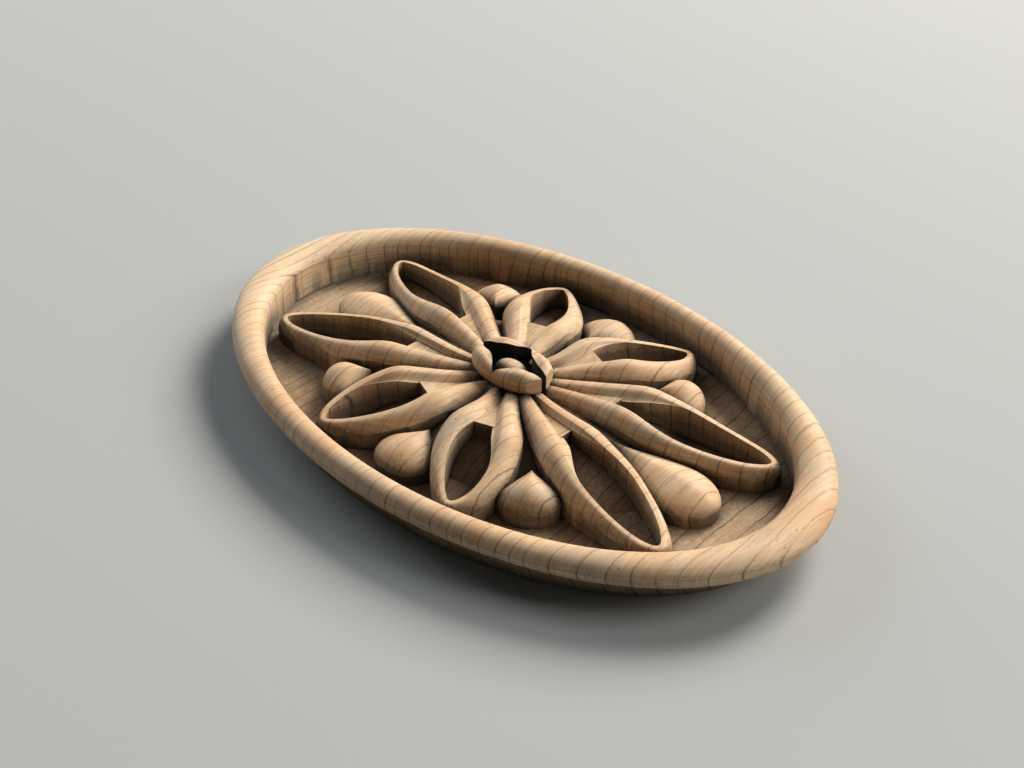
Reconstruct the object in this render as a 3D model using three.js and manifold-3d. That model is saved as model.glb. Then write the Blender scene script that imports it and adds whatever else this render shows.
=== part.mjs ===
// Carved wooden oval rosette, one piece. Millimetres, +Z out of the carved face, X along the long axis.
import * as THREE from 'three';
import { mergeVertices } from 'three/addons/utils/BufferGeometryUtils.js';
import Module from 'manifold-3d';

const wasm = await Module();
wasm.setup();

// Overall form
const rosetteLength = 160;
const rosetteWidth = 99.2;
const groundThickness = 2.2;

// Rim: a half-round bead on an inset wall
const rimBeadWidth = 9.6;
const rimBeadHeight = 5.8;
const rimTopHeight = 12.1;
const rimUndercut = 6.4;
const baseInset = 3.3;
const rimSteps = 8;
const rimAround = 60;

// Domed ground under the flower
const domeRadius = 46.1;
const domeHeight = 7.1;
const domeFullness = 3;
const domeSteps = 6;

// Ribs of all petals: thin crests that stand on a rounded shoulder outside and a slope inside
const tipHeight = 7.7;
const crestWidth = 0.7;
const seatHeight = 1.2;
const hubRise = 2.5;
const bendRounding = 1;
const hubShoulder = { width: 2.4, drop: 4.6 };
const bendShoulder = { width: 3.4, drop: 2.8 };
const tipShoulder = { width: 1.7, drop: 2.8 };
const shoulderArc = 70;
const shoulderSteps = 3;
const ribSteps = 15;

// Channels between the two ribs of a petal
const webHubHeight = 8.9;
const webStepHeight = 11.1;

// Petals of one quarter. A rib runs through its plan points, rises to the bend and falls to the tip.
// bend, opening and thin are shares of the reach, which is measured along X (run 0) or Y (run 1):
// the inner slope ends at opening, and the shoulder thins over the stretch thin.
const longPetal = {
  tip: [58.1, 18.1],
  reach: 58.1,
  run: 0,
  bend: 0.48,
  opening: 0.64,
  thin: [0.48, 0.8],
  step: [[24.2, 12.3], [24.2, 5.3]],
  outer: {
    plan: [[4.7, 1.7], [17.7, 8.8], [28.4, 14.3], [39.4, 18], [55.2, 19.4]],
    bendRise: 5.2,
    fall: 1.8,
    slope: [{ width: 2, drop: 1.6 }, { width: 3, drop: 1.6 }],
  },
  inner: {
    plan: [[4.7, 0.9], [15, 3.7], [28.4, 5.9], [41.8, 7.6], [55.2, 14.4]],
    bendRise: 5.1,
    fall: 1.3,
    slope: [{ width: 1, drop: 1.4 }, { width: 1.2, drop: 1 }],
  },
};
const shortPetal = {
  tip: [19.8, 37.4],
  reach: 37.4,
  run: 1,
  bend: 0.52,
  opening: 0.78,
  thin: [0.66, 1.05],
  step: [[13.8, 16.4], [5.7, 19.3]],
  outer: {
    plan: [[2.8, 2.8], [9.5, 11.6], [16.2, 18.9], [19.9, 25.6], [21.4, 33.9]],
    bendRise: 5.5,
    fall: 1.2,
    slope: [{ width: 2, drop: 1.6 }, { width: 2.6, drop: 1.6 }],
  },
  inner: {
    plan: [[0.9, 2.8], [3.9, 11.5], [5.9, 22], [11.8, 31.1], [17.7, 36.6]],
    bendRise: 4.9,
    fall: 1,
    slope: [{ width: 1, drop: 1.4 }, { width: 2.4, drop: 1.3 }],
  },
};

// Buds: a start point near the hub, then lengths along the bud's own line
const endBud = {
  start: [28, 0],
  angle: 0,
  widest: 19.5,
  length: 30,
  half: 7.5,
  taper: 1.7,
  startSide: 4.6,
  side: 4.6,
  startTop: 7.6,
  top: 8.8,
};
const sideBud = {
  start: [0, 24.8],
  angle: 90,
  widest: 6.2,
  length: 13.6,
  half: 7.6,
  taper: 1.7,
  startSide: 5,
  side: 4.6,
  startTop: 8.2,
  top: 9.2,
};
const cornerBud = {
  start: [25.4, 19.6],
  angle: 50,
  widest: 5.8,
  length: 11.2,
  half: 6.9,
  taper: 1.25,
  startSide: 7.4,
  side: 5.2,
  startTop: 8.7,
  top: 10.1,
};
const budRidge = 0.6;
const budEndRidge = 0.15;
const budSteps = 5;
const budArc = 6;

// Centre button: four lobes round a star-shaped hollow, with a pearl in it
const buttonLength = 21.2;
const buttonTopHeight = 14.8;
const lobeRise = 0.8;
const lobeSwell = 0.04;
const buttonWaistHeight = 12.9;
const buttonSeatHeight = 10.2;
const buttonTuck = 70;
const ridgeWidth = 2.8;
const ridgeArc = 105;
const buttonEnd = 10.1;
const buttonEndAngle = 20;
const neckLength = 15.2;
const neckOverlap = 0.8;
const starReach = 0.97;
const starSag = 2.4;
const starSlit = 1.2;
const pitLength = 19.6;
const starFloorHeight = 7.4;
const pearlLength = 9.8;
const pearlTopHeight = 13.7;
const pearlSideHeight = 10;
const buttonSteps = 4;
const starSteps = 6;
const buttonAround = 28;

const ovalRatio = rosetteWidth / rosetteLength;
const outer = rosetteLength / 2;
const beadHalf = rimBeadWidth / 2;
const beadCentre = outer - beadHalf;
const beadLevel = rimTopHeight - rimBeadHeight / 2;
const innerWall = outer - rimBeadWidth;
const degree = Math.PI / 180;

function toManifold(geometry) {
  const plain = geometry.clone();
  for (const name of Object.keys(plain.attributes)) {
    if (name !== 'position') plain.deleteAttribute(name);
  }
  const merged = mergeVertices(plain, 1e-4);
  const corners = new Uint32Array(merged.index.array);
  const make = (triVerts) => new wasm.Manifold(new wasm.Mesh({
    numProp: 3,
    vertProperties: new Float32Array(merged.attributes.position.array),
    triVerts,
  }));
  const solid = make(corners);
  return solid.volume() < 0 ? make(corners.map((_, i) => corners[i - (i % 3) + 2 - (i % 3)])) : solid;
}

function toGeometry(manifold) {
  const mesh = manifold.getMesh();
  const geometry = new THREE.BufferGeometry();
  geometry.setAttribute('position', new THREE.BufferAttribute(mesh.vertProperties, 3));
  geometry.setIndex(new THREE.BufferAttribute(mesh.triVerts, 1));
  return geometry;
}

// Closed skin over equal rings of points; both ends are closed with a fan.
function skin(rings) {
  const count = rings[0].length;
  const positions = rings.flat().flatMap((p) => [p.x, p.y, p.z]);
  const index = [];
  for (let i = 0; i < rings.length - 1; i += 1) {
    for (let j = 0; j < count; j += 1) {
      const a = i * count + j;
      const b = i * count + ((j + 1) % count);
      index.push(a, b, b + count, a, b + count, a + count);
    }
  }
  const last = (rings.length - 1) * count;
  for (let j = 1; j < count - 1; j += 1) {
    index.push(0, j + 1, j);
    index.push(last, last + j, last + j + 1);
  }
  const geometry = new THREE.BufferGeometry();
  geometry.setAttribute('position', new THREE.Float32BufferAttribute(positions, 3));
  geometry.setIndex(index);
  return geometry;
}

function turnedOval(profile, around) {
  const geometry = new THREE.LatheGeometry(profile.map(([r, z]) => new THREE.Vector2(r, z)), around);
  geometry.rotateX(Math.PI / 2);
  geometry.scale(1, ovalRatio, 1);
  return geometry;
}

// Rim, base wall and ground in one turned profile
function rimProfile() {
  const profile = [[0, 0], [beadCentre - baseInset, 0], [beadCentre, rimUndercut]];
  for (let i = 0; i <= rimSteps; i += 1) {
    const angle = -Math.PI / 3 + (4 * Math.PI / 3) * (i / rimSteps);
    const r = beadCentre + beadHalf * Math.cos(angle);
    profile.push([r, beadLevel + (rimBeadHeight / 2) * Math.sin(angle)]);
  }
  profile.push([innerWall, groundThickness], [0, groundThickness]);
  return profile;
}

function domeProfile() {
  const profile = [[0, groundThickness / 2], [domeRadius, groundThickness / 2]];
  for (let i = 0; i <= domeSteps; i += 1) {
    const r = domeRadius * Math.cos((Math.PI / 2) * (i / domeSteps));
    profile.push([r, groundThickness + domeHeight * (1 - (r / domeRadius) ** domeFullness)]);
  }
  profile[profile.length - 1][0] = 0;
  return profile;
}

const mix = (a, b, t) => a + (b - a) * t;
const mixSizes = (a, b, t) => ({ width: mix(a.width, b.width, t), drop: mix(a.drop, b.drop, t) });
const ease = (from, to, value) => THREE.MathUtils.smoothstep(value, from, to);

// Height of a crest above the tip level at a place along the petal, rounded over at the bend
function crestRise(petal, rib, place) {
  const rising = hubRise + (rib.bendRise - hubRise) * (place / petal.bend) ** 1.2;
  const falling = rib.bendRise * (Math.max(1 - place, 0) / (1 - petal.bend)) ** rib.fall;
  const share = THREE.MathUtils.clamp(0.5 + (falling - rising) / (2 * bendRounding), 0, 1);
  return mix(falling, rising, share) - bendRounding * share * (1 - share);
}

// Section across a rib, as offsets outwards from the crest and heights
function ribSection(petal, rib, place) {
  const top = tipHeight + crestRise(petal, rib, place);
  const near = Math.min(place / petal.bend, 1);
  const open = ease(petal.bend - 0.06, petal.opening, place);
  const slope = mixSizes(mixSizes(rib.slope[0], rib.slope[1], near), { width: 0, drop: 0 }, open);
  const shoulder = mixSizes(
    mixSizes(hubShoulder, bendShoulder, near),
    tipShoulder,
    ease(...petal.thin, place),
  );
  const section = [[-slope.width, seatHeight], [-slope.width, top - slope.drop], [0, top]];
  for (let j = 0; j <= shoulderSteps; j += 1) {
    const a = shoulderArc * degree * (j / shoulderSteps);
    const across = Math.sin(a) / Math.sin(shoulderArc * degree);
    const down = (1 - Math.cos(a)) / (1 - Math.cos(shoulderArc * degree));
    section.push([crestWidth + shoulder.width * across, top - shoulder.drop * down]);
  }
  section.push([crestWidth + shoulder.width, seatHeight]);
  return section;
}

// One open petal: a rib that runs out along one side, round the tip and back along the other.
function petalRing(petal, turn) {
  const [first, second] = turn > 0 ? [petal.outer, petal.inner] : [petal.inner, petal.outer];
  const plan = [...first.plan, petal.tip, ...[...second.plan].reverse()];
  const points = plan.map(([x, y]) => new THREE.Vector3(x, y, 0));
  const path = new THREE.CatmullRomCurve3(points, false, 'centripetal');
  const rings = [];
  for (let i = 0; i <= 2 * ribSteps; i += 1) {
    const t = i / (2 * ribSteps);
    const crest = path.getPoint(t);
    const along = path.getTangent(t);
    const out = new THREE.Vector3(-along.y, along.x, 0).normalize();
    const place = Math.min(crest.getComponent(petal.run) / petal.reach, 1);
    const section = ribSection(petal, t < 0.5 ? first : second, place);
    rings.push(section.map(([offset, z]) => crest.clone().addScaledVector(out, offset).setZ(z)));
  }
  return skin(rings);
}

// Floor of the channel between the two ribs of a petal; it ends in a steep step where the opening starts.
function web({ outer: outerRib, inner: innerRib, step }) {
  const across = ([ax, ay], [bx, by], top) => [
    new THREE.Vector3(bx, by, seatHeight),
    new THREE.Vector3(bx, by, top),
    new THREE.Vector3(ax, ay, top),
    new THREE.Vector3(ax, ay, seatHeight),
  ];
  return skin([
    across(outerRib.plan[0], innerRib.plan[0], webHubHeight),
    across(step[0], step[1], webStepHeight),
  ]);
}

// Bud: upright sides under a ridged top that rounds off outwards.
function bud({ start, angle, widest, length, half, taper, startSide, side, startTop, top }) {
  const rings = [];
  for (let i = 0; i <= 2 * budSteps; i += 1) {
    const t = i / budSteps - 1;
    const a = (Math.PI / 2) * t;
    const tail = t < 0;
    const reach = tail ? widest * (1 + t) : widest + Math.sin(a) * (length - widest);
    const swell = Math.max(tail ? 1 - Math.abs(t) ** taper : Math.cos(a), 0.04);
    const w = half * swell;
    const eave = tail ? side - (startSide - side) * t : side;
    const crown = tail ? top + (startTop - top) * t * t : side + (top - side) * swell;
    const peak = mix(budRidge, budEndRidge, reach / length);
    const ring = [new THREE.Vector3(reach, -w, seatHeight)];
    for (let j = 0; j <= budArc; j += 1) {
      const b = Math.PI * (j / budArc);
      const rise = (1 - peak) * Math.sin(b) + peak * (1 - Math.abs(Math.cos(b)));
      ring.push(new THREE.Vector3(reach, -w * Math.cos(b), eave + (crown - eave) * rise));
    }
    ring.push(new THREE.Vector3(reach, w, seatHeight));
    rings.push(ring);
  }
  const geometry = skin(rings);
  geometry.rotateZ(angle * degree);
  geometry.translate(start[0], start[1], 0);
  return geometry;
}

// Section of the button: a tucked-in foot, a swelling waist and a ridge that runs round a shallow dish
function buttonProfile() {
  const ridge = buttonLength / 2 - ridgeWidth;
  const low = Math.sin(buttonTuck * degree);
  const profile = [[0, buttonSeatHeight]];
  for (let i = 0; i < buttonSteps; i += 1) {
    const a = buttonTuck * degree * (1 - i / buttonSteps);
    const sink = (buttonWaistHeight - buttonSeatHeight) * (Math.sin(a) / low);
    profile.push([ridge + ridgeWidth * Math.cos(a), buttonWaistHeight - sink]);
  }
  for (let i = 0; i <= 2 * buttonSteps; i += 1) {
    const a = ridgeArc * degree * (i / (2 * buttonSteps));
    const lift = (buttonTopHeight - buttonWaistHeight) * Math.sin(a);
    profile.push([ridge + ridgeWidth * Math.cos(a), buttonWaistHeight + lift]);
  }
  profile.push([0, profile[profile.length - 1][1]]);
  return profile;
}

// The ring of the button swells and rises towards the middle of each quarter, which makes four lobes.
function lobed(geometry) {
  const points = geometry.getAttribute('position');
  for (let i = 0; i < points.count; i += 1) {
    const turn = Math.atan2(points.getY(i) / ovalRatio, points.getX(i));
    const share = Math.sin(2 * turn) ** 2;
    const lift = (points.getZ(i) - buttonWaistHeight) / (buttonTopHeight - buttonWaistHeight);
    const grown = 1 + lobeSwell * share;
    const z = points.getZ(i) + lobeRise * share * Math.max(lift, 0);
    points.setXYZ(i, points.getX(i) * grown, points.getY(i) * grown, z);
  }
  return geometry;
}

// Round-headed peg
function pearlProfile() {
  const r = pearlLength / 2;
  const profile = [[0, seatHeight], [r, seatHeight]];
  for (let i = 0; i <= buttonSteps; i += 1) {
    const a = (Math.PI / 2) * (i / buttonSteps);
    const lift = (pearlTopHeight - pearlSideHeight) * Math.sin(a);
    profile.push([r * Math.cos(a) ** 0.8, pearlSideHeight + lift]);
  }
  profile[profile.length - 1][0] = 0;
  return profile;
}

// Prism over a plan outline
function prism(outline, low, high) {
  return skin([low, high].map((z) => outline.map(([x, y]) => new THREE.Vector3(x, y, z))));
}

// Four-pointed star whose sides bow inwards; its two long points are open as narrow slits.
function starOutline() {
  const reach = (buttonLength / 2) * starReach;
  const outline = [];
  for (const [xSide, ySide] of [[1, 1], [-1, 1], [-1, -1], [1, -1]]) {
    const side = [];
    for (let i = 0; i <= starSteps; i += 1) {
      const t = i / starSteps;
      const bow = 1 - (4 * t * (1 - t) * starSag) / reach;
      side.push([xSide * reach * (1 - t) * bow, ySide * mix(starSlit / 2, reach * ovalRatio, t) * bow]);
    }
    outline.push(...(xSide * ySide > 0 ? side : side.reverse().slice(1)));
  }
  return outline;
}

// Plan of the button's two blunt ends: a long diamond that cuts the lobes off at a slant
function blunting() {
  const side = buttonEnd / Math.tan(buttonEndAngle * degree);
  return [[buttonEnd, 0], [0, side], [-buttonEnd, 0], [0, -side]];
}

function mirrored(solid, xSide, ySide) {
  let copy = solid;
  if (xSide < 0) copy = copy.mirror([1, 0, 0]);
  if (ySide < 0) copy = copy.mirror([0, 1, 0]);
  return copy;
}

const solids = [rimProfile(), domeProfile()].map((profile) => toManifold(turnedOval(profile, rimAround)));
const quarter = [
  petalRing(longPetal, 1),
  petalRing(shortPetal, -1),
  web(longPetal),
  web(shortPetal),
  bud(cornerBud),
];
for (const solid of quarter.map(toManifold)) {
  for (const xSide of [1, -1]) {
    for (const ySide of [1, -1]) solids.push(mirrored(solid, xSide, ySide));
  }
}
for (const side of [1, -1]) {
  solids.push(mirrored(toManifold(bud(endBud)), side, 1));
  solids.push(mirrored(toManifold(bud(sideBud)), 1, side));
}

// The button stands on a solid neck; the star is cut through it and goes on below as a pit with the pearl in it.
const star = toManifold(prism(starOutline(), starFloorHeight, buttonTopHeight + 2));
const button = toManifold(lobed(turnedOval(buttonProfile(), buttonAround)))
  .intersect(toManifold(prism(blunting(), 0, 2 * buttonTopHeight)))
  .subtract(star);
const drum = (length, low, high) => toManifold(turnedOval(
  [[0, low], [length / 2, low], [length / 2, high], [0, high]],
  buttonAround,
));
const neck = drum(neckLength, seatHeight, buttonSeatHeight + neckOverlap);
const pit = drum(pitLength, starFloorHeight, buttonTopHeight).intersect(star);
const whole = [...solids, neck].reduce((sum, solid) => sum.add(solid));
const pearl = toManifold(turnedOval(pearlProfile(), buttonAround));
const carving = whole.subtract(pit).add(button).add(pearl);

// Small pockets shut in under the button are solid wood: only the outer skin is kept.
const skins = carving.decompose().sort((a, b) => b.volume() - a.volume());

const wood = new THREE.MeshStandardMaterial({ color: 0xb98a5c, roughness: 0.65, metalness: 0 });
const rosette = new THREE.Mesh(toGeometry(skins[0]), wood);
rosette.name = 'carved_rosette';

const group = new THREE.Group();
group.add(rosette);

export default group;
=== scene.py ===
"""Dressed model of a carved wooden oval rosette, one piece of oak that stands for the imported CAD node.

Lengths are in millimetres while shapes are worked out and in metres in Blender.
+X runs along the long axis of the oval and +Z out of the carved face.
"""

import logging
import math
from dataclasses import dataclass
from enum import Enum

import bpy
import numpy as np
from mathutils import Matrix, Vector

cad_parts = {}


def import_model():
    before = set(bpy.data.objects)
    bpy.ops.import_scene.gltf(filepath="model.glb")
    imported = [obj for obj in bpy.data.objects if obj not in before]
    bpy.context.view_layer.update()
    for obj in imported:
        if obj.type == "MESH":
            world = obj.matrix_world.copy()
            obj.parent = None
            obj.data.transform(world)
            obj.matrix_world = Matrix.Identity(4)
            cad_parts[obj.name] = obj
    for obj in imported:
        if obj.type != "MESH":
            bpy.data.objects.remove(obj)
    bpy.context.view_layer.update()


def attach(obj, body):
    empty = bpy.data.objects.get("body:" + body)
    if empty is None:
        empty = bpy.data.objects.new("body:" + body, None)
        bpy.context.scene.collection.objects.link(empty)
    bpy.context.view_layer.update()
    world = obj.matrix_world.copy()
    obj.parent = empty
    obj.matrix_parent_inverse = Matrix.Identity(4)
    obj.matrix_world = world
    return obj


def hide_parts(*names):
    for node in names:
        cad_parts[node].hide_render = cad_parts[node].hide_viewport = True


MM = 0.001
LOG = logging.getLogger("rosette")
Spot = tuple[float, float]
Triple = tuple[float, float, float]
Colour = tuple[float, float, float, float]
Socket = bpy.types.NodeSocket


class Grain(Enum):
    """How finely a shape is cut up: number of steps along and across it."""

    DRAFT = (30, 5)
    FINE = (72, 9)

    @property
    def along(self) -> int:
        """Steps along a rib or bud."""
        return self.value[0]

    @property
    def across(self) -> int:
        """Steps over one rounded flank."""
        return self.value[1]


@dataclass
class Shell:
    """A closed skin of points and faces, in millimetres."""

    points: np.ndarray
    faces: list[tuple[int, ...]]

    def moved(self, turn: float, shift: Spot) -> "Shell":
        """Turns the shell about +Z and shifts it in plan.

        Args:
            turn: Angle in radians.
            shift: Distances along X and Y.

        Returns:
            A new shell.
        """
        c, s = math.cos(turn), math.sin(turn)
        x, y, z = self.points.T
        return Shell(np.c_[c * x - s * y + shift[0], s * x + c * y + shift[1], z], self.faces)

    def mirrored(self, x_side: int, y_side: int) -> "Shell":
        """Mirrors the shell across the short or long axis, or both.

        Args:
            x_side: 1 or -1.
            y_side: 1 or -1.

        Returns:
            A new shell whose faces still look outwards.
        """
        faces = self.faces if x_side * y_side > 0 else [face[::-1] for face in self.faces]
        return Shell(self.points * (x_side, y_side, 1), faces)

    def volume(self) -> float:
        """Signed volume, negative where the faces look inwards."""
        total = 0.0
        for face in self.faces:
            a = self.points[face[0]]
            for k in range(1, len(face) - 1):
                total += np.dot(a, np.cross(self.points[face[k]], self.points[face[k + 1]]))
        return total / 6

    def as_object(self, name: str) -> bpy.types.Object:
        """Makes a Blender object of the shell.

        Args:
            name: Name of the object and its mesh.

        Returns:
            The object, linked to the scene.
        """
        faces = self.faces if self.volume() > 0 else [face[::-1] for face in self.faces]
        mesh = bpy.data.meshes.new(name)
        mesh.from_pydata((self.points * MM).tolist(), [], faces)
        mesh.validate()
        made = bpy.data.objects.new(name, mesh)
        bpy.context.scene.collection.objects.link(made)
        return made


def lofted(rings: list[np.ndarray]) -> Shell:
    """Joins equal rings of points to a closed shell.

    Args:
        rings: Rings of points, each with the same count.

    Returns:
        The shell, closed by one face at each end.
    """
    count = len(rings[0])
    faces = []
    for i in range(len(rings) - 1):
        for j in range(count):
            a, b = i * count + j, i * count + (j + 1) % count
            faces.append((a, b, b + count, a + count))
    last = (len(rings) - 1) * count
    faces.append(tuple(range(count))[::-1])
    faces.append(tuple(range(last, last + count)))
    return Shell(np.vstack(rings), faces)


def turned(profile: list[Spot], ratio: float, around: int) -> Shell:
    """Turns a profile about +Z and squeezes it to an oval.

    Args:
        profile: Radius and height of each point, starting and ending on the axis.
        ratio: Width of the oval as a share of its length.
        around: Number of steps round the oval.

    Returns:
        The closed shell.
    """
    angles = np.arange(around) * (2 * math.pi / around)
    ring = np.c_[np.cos(angles), ratio * np.sin(angles)]
    inner = profile[1:-1]
    points = [(0, 0, profile[0][1])]
    for radius, height in inner:
        points += [(radius * x, radius * y, height) for x, y in ring]
    points.append((0, 0, profile[-1][1]))
    faces = []
    for i in range(len(inner) - 1):
        for j in range(around):
            a, b = 1 + i * around + j, 1 + i * around + (j + 1) % around
            faces.append((a, b, b + around, a + around))
    end, last = len(points) - 1, 1 + (len(inner) - 1) * around
    for j in range(around):
        faces.append((0, 1 + (j + 1) % around, 1 + j))
        faces.append((end, last + j, last + (j + 1) % around))
    return Shell(np.array(points), faces)


def through(points: np.ndarray, places: np.ndarray) -> np.ndarray:
    """Smooth curve through points, by centripetal Catmull-Rom pieces.

    Args:
        points: One row for each point.
        places: Places on the curve, counted in points.

    Returns:
        One row for each place.
    """
    ends = 2 * points[[0, -1]] - points[[1, -2]]
    rows = np.vstack([ends[:1], points, ends[1:]])
    gaps = np.linalg.norm(np.diff(rows, axis=0), axis=1) ** 0.5
    out = []
    for place in places:
        k = min(int(place), len(points) - 2)
        t = place - k
        p0, p1, p2, p3 = rows[k:k + 4]
        g0, g1, g2 = gaps[k:k + 3]
        slope1 = ((p1 - p0) / g0 - (p2 - p0) / (g0 + g1) + (p2 - p1) / g1) * g1
        slope2 = ((p2 - p1) / g1 - (p3 - p1) / (g1 + g2) + (p3 - p2) / g2) * g1
        c2 = -3 * p1 + 3 * p2 - 2 * slope1 - slope2
        c3 = 2 * p1 - 2 * p2 + slope1 + slope2
        out.append(p1 + slope1 * t + c2 * t ** 2 + c3 * t ** 3)
    return np.array(out)


def ease(start: float, end: float, value: float) -> float:
    """Smooth step from 0 at start to 1 at end."""
    t = min(max((value - start) / (end - start), 0.0), 1.0)
    return t * t * (3 - 2 * t)


def mix(a: float, b: float, t: float) -> float:
    """Value between a and b."""
    return a + (b - a) * t


@dataclass(frozen=True)
class Rim:
    """Half-round bead on an inset wall, with the flat ground inside it."""

    length: float = 160.0
    width: float = 99.2
    bead_width: float = 9.6
    bead_height: float = 5.8
    top_height: float = 12.1
    undercut: float = 6.4
    base_inset: float = 3.3
    ground: float = 2.2
    bead_start: float = math.radians(-60)
    bead_end: float = math.radians(180)
    dome_radius: float = 46.1
    dome_overlap: float = 2.0
    ground_step: float = 1.6

    @property
    def ratio(self) -> float:
        """Width of the oval as a share of its length."""
        return self.width / self.length

    def shells(self, grain: Grain) -> list[Shell]:
        """Builds the rim and ground.

        Args:
            grain: How finely the shapes are cut up.

        Returns:
            One closed shell.
        """
        half = self.bead_width / 2
        centre = self.length / 2 - half
        level = self.top_height - self.bead_height / 2
        profile = [(0, 0), (centre - self.base_inset, 0), (centre, self.undercut)]
        steps = 4 * grain.across
        for i in range(steps + 1):
            a = mix(self.bead_start, self.bead_end, i / steps)
            profile.append((centre + half * math.cos(a), level + self.bead_height / 2 * math.sin(a)))
        inner = self.length / 2 - self.bead_width
        under = self.dome_radius - self.dome_overlap
        profile += [(r, self.ground) for r in np.arange(inner, under, -self.ground_step)]
        profile.append((0, self.ground))
        return [turned(profile, self.ratio, 4 * grain.along)]


@dataclass(frozen=True)
class Dome:
    """Swelling of the ground under the flower."""

    radius: float = 46.1
    height: float = 7.1
    fullness: float = 3.0
    ground: float = 2.2
    ratio: float = 0.62

    def shells(self, grain: Grain) -> list[Shell]:
        """Builds the dome.

        Args:
            grain: How finely the shapes are cut up.

        Returns:
            One closed shell.
        """
        profile = [(0, self.ground / 2), (self.radius, self.ground / 2)]
        steps = 2 * grain.across
        for i in range(steps + 1):
            r = self.radius * math.cos(math.pi / 2 * i / steps)
            profile.append((r, self.ground + self.height * (1 - (r / self.radius) ** self.fullness)))
        profile[-1] = (0, profile[-1][1])
        return [turned(profile, self.ratio, 3 * grain.along)]


@dataclass(frozen=True)
class Flank:
    """Width and drop of one side of a rib."""

    width: float
    drop: float

    def towards(self, other: "Flank", t: float) -> "Flank":
        """Flank between this one and another."""
        return Flank(mix(self.width, other.width, t), mix(self.drop, other.drop, t))


@dataclass(frozen=True)
class Rib:
    """Raised edge of a petal: its plan from the hub out, its rise at the bend and its fall to the tip."""

    plan: tuple[Spot, ...]
    bend_rise: float
    fall: float
    hub_slope: Flank
    bend_slope: Flank


@dataclass(frozen=True)
class Petal:
    """Open petal: a rib out along one side, round the tip and back, with a channel near the hub."""

    first: Rib
    tip: Spot
    second: Rib
    reach: float
    run: int
    bend: float
    opening: float
    thin: tuple[float, float]
    step: tuple[Spot, Spot]
    slope_lead: float = 0.06
    rise_power: float = 1.2
    nudge: float = 1e-3
    tip_height: float = 7.7
    crest: float = 0.7
    seat: float = 1.2
    hub_rise: float = 2.5
    bend_rounding: float = 1.0
    hub_shoulder: Flank = Flank(2.4, 4.6)
    bend_shoulder: Flank = Flank(3.4, 2.8)
    tip_shoulder: Flank = Flank(1.7, 2.8)
    shoulder_arc: float = math.radians(50)
    web_hub: float = 8.9
    web_step: float = 11.1

    def shells(self, grain: Grain) -> list[Shell]:
        """Builds the rib and the floor of the channel.

        Args:
            grain: How finely the shapes are cut up.

        Returns:
            Two closed shells.
        """
        return [self.ring(grain), self.web(grain)]

    def rise(self, rib: Rib, place: float) -> float:
        """Height of the crest above the tip level, rounded over at the bend.

        Args:
            rib: The rib.
            place: Share of the petal's reach.

        Returns:
            The height.
        """
        rising = self.hub_rise + (rib.bend_rise - self.hub_rise) * (place / self.bend) ** self.rise_power
        falling = rib.bend_rise * (max(1 - place, 0) / (1 - self.bend)) ** rib.fall
        share = min(max(0.5 + (falling - rising) / (2 * self.bend_rounding), 0), 1)
        return mix(falling, rising, share) - self.bend_rounding * share * (1 - share)

    def section(self, rib: Rib, place: float, grain: Grain) -> list[Spot]:
        """Section across a rib.

        Args:
            rib: The rib.
            place: Share of the petal's reach.
            grain: How finely the shape is cut up.

        Returns:
            Offsets outwards from the crest, and heights.
        """
        top = self.tip_height + self.rise(rib, place)
        near = min(place / self.bend, 1)
        slope = rib.hub_slope.towards(rib.bend_slope, near)
        slope = slope.towards(Flank(0, 0), ease(self.bend - self.slope_lead, self.opening, place))
        shoulder = self.hub_shoulder.towards(self.bend_shoulder, near)
        shoulder = shoulder.towards(self.tip_shoulder, ease(*self.thin, place))
        points = [(-slope.width, self.seat)]
        for j in range(grain.across + 1):
            t = 1 - j / grain.across
            points.append((-slope.width * t, top - slope.drop * (1 - math.cos(math.pi * t)) / 2))
        for j in range(grain.across + 1):
            a = self.shoulder_arc * j / grain.across
            across = math.sin(a) / math.sin(self.shoulder_arc)
            down = (1 - math.cos(a)) / (1 - math.cos(self.shoulder_arc))
            points.append((self.crest + shoulder.width * across, top - shoulder.drop * down))
        points.append((self.crest + shoulder.width, self.seat))
        return points

    def ring(self, grain: Grain) -> Shell:
        """Builds the rib that runs round the petal.

        Args:
            grain: How finely the shape is cut up.

        Returns:
            The closed shell.
        """
        plan = np.array([*self.first.plan, self.tip, *self.second.plan[::-1]])
        last = len(plan) - 1
        places = np.linspace(0, last, 2 * grain.along + 1)
        curve = through(plan, places)
        ahead = through(plan, np.minimum(places + self.nudge, last))
        along = ahead - through(plan, np.maximum(places - self.nudge, 0))
        out = np.c_[-along[:, 1], along[:, 0]] / np.linalg.norm(along, axis=1)[:, None]
        rings = []
        for (x, y), side, at in zip(curve, out, places):
            rib = self.first if at < last / 2 else self.second
            section = self.section(rib, min((x, y)[self.run] / self.reach, 1), grain)
            rings.append(np.array([(x + side[0] * o, y + side[1] * o, z) for o, z in section]))
        return lofted(rings)

    def web(self, grain: Grain) -> Shell:
        """Builds the floor of the channel, which ends in a steep step where the opening starts.

        Args:
            grain: How finely the shape is cut up.

        Returns:
            The closed shell.
        """
        rings = []
        for t in np.linspace(0, 1, grain.across + 1):
            top = mix(self.web_hub, self.web_step, t)
            (ax, ay), (bx, by) = (
                [mix(hub, end, t) for hub, end in zip(rib.plan[0], edge)]
                for rib, edge in zip((self.first, self.second), self.step)
            )
            rings.append(np.array([(bx, by, self.seat), (bx, by, top), (ax, ay, top), (ax, ay, self.seat)]))
        return lofted(rings)


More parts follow.
